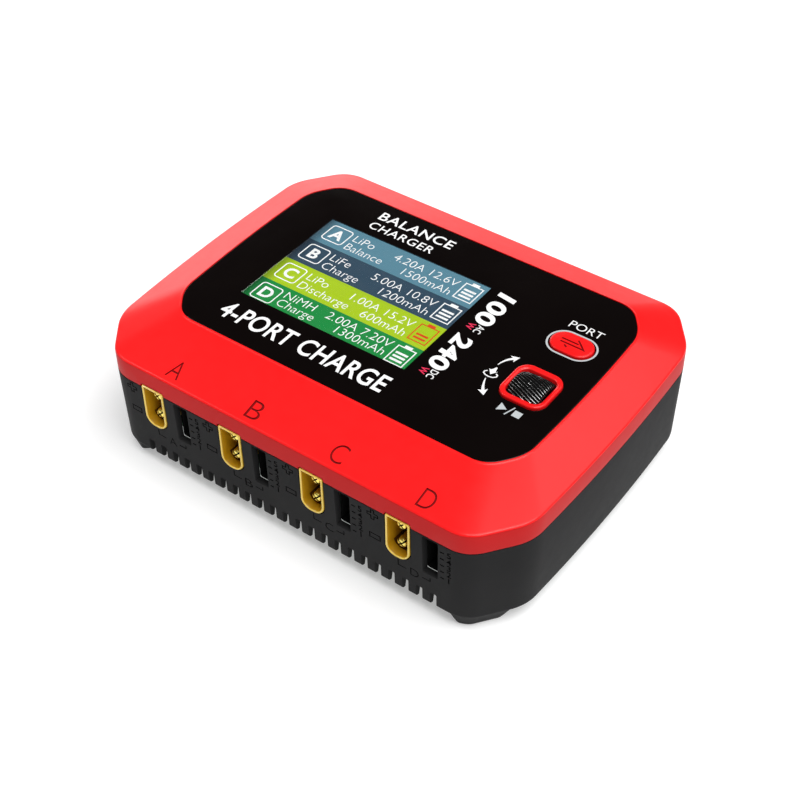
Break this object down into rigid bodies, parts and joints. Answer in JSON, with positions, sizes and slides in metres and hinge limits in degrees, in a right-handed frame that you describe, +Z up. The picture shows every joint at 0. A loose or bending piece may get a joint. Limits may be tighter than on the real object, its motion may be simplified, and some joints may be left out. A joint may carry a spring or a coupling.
{
  "type": "balance battery charger",
  "caption": "Bench charger for model batteries: sloped red cover, colour screen, scroll wheel and button, upright power and balance sockets along the front, inlets and fan behind.",
  "frame": {"origin": "under the middle of the case, at the soles of the feet", "axes": "+X along the front from port A to port D, +Y from the front to the back, +Z up"},
  "size_m": [0.1614, 0.1232, 0.0502],
  "materials": {
    "red_shell": "smooth satin-gloss injection moulding",
    "black_shell": "fine matte moulding texture",
    "window_black": "high gloss, back-printed",
    "foot_rubber": "matte",
    "steel": "plain bright steel",
    "gold_nylon": "semi-gloss moulded nylon",
    "gold_plate": "bright gold plate",
    "black_nylon": "satin moulding",
    "wheel_black": "gloss with fine ridges",
    "ferrite": "moulded epoxy and ferrite",
    "circuit_board": "solder mask",
    "display_glass": "polished display cell",
    "aluminium": "extruded and saw cut",
    "winding_tape": "polyester tape",
    "capacitor_sleeve": "heat-shrink sleeve"
  },
  "bodies": {
    "base": {"top_cover": "red_shell", "display_window": "window_black", "lower_case": "black_shell", "foot_pad_front_left": "foot_rubber", "foot_pad_front_right": "foot_rubber", "foot_pad_back_left": "foot_rubber", "foot_pad_back_right": "foot_rubber", "case_screw_1": "steel", "case_screw_2": "steel", "case_screw_3": "steel", "case_screw_4": "steel", "output_socket_a": "gold_nylon", "output_pin_a_positive": "gold_plate", "output_pin_a_negative": "gold_plate", "balance_socket_a": "black_nylon", "choke_a": "ferrite", "output_socket_b": "gold_nylon", "output_pin_b_positive": "gold_plate", "output_pin_b_negative": "gold_plate", "balance_socket_b": "black_nylon", "choke_b": "ferrite", "output_socket_c": "gold_nylon", "output_pin_c_positive": "gold_plate", "output_pin_c_negative": "gold_plate", "balance_socket_c": "black_nylon", "choke_c": "ferrite", "output_socket_d": "gold_nylon", "output_pin_d_positive": "gold_plate", "output_pin_d_negative": "gold_plate", "balance_socket_d": "black_nylon", "choke_d": "ferrite", "dc_inlet": "gold_nylon", "dc_inlet_pin_positive": "gold_plate", "dc_inlet_pin_negative": "gold_plate", "ac_inlet": "black_nylon", "ac_inlet_pin_1": "steel", "ac_inlet_pin_2": "steel", "port_board": "circuit_board", "main_board": "circuit_board", "control_board": "circuit_board", "lcd_frame": "steel", "lcd_panel": "display_glass", "button_switch": "ferrite", "wheel_bracket": "steel", "wheel_switch": "ferrite", "fan_frame": "black_nylon", "heat_sink": "aluminium", "transformer": "winding_tape", "bulk_capacitor": "capacitor_sleeve"},
    "button": {"port_button": "red_shell", "button_plunger": "black_nylon"},
    "wheel": {"scroll_wheel": "wheel_black"},
    "wheel_carriage": {"wheel_axle": "steel", "wheel_carriage": "black_nylon", "wheel_encoder": "ferrite", "wheel_plunger": "black_nylon"},
    "fan_rotor": {"fan_rotor": "black_nylon"}
  },
  "joints": [
    {"name": "wheel_press", "type": "slide", "parent": "base", "child": "wheel_carriage", "axis": [0, 0, -1], "range_m": [0, 0.0004], "stiffness_N_per_m": 4000},
    {"name": "wheel_turn", "type": "hinge", "parent": "wheel_carriage", "child": "wheel", "pos_m": [0.0514, -0.0036, 0.042], "axis": [1, 0, 0], "continuous": true},
    {"name": "port_button_press", "type": "slide", "parent": "base", "child": "button", "axis": [0, 0, -1], "range_m": [0, 0.0006], "stiffness_N_per_m": 3000},
    {"name": "fan_spin", "type": "hinge", "parent": "base", "child": "fan_rotor", "pos_m": [-0.03, 0.0534, 0.0198], "axis": [0, 1, 0], "continuous": true}
  ]
}
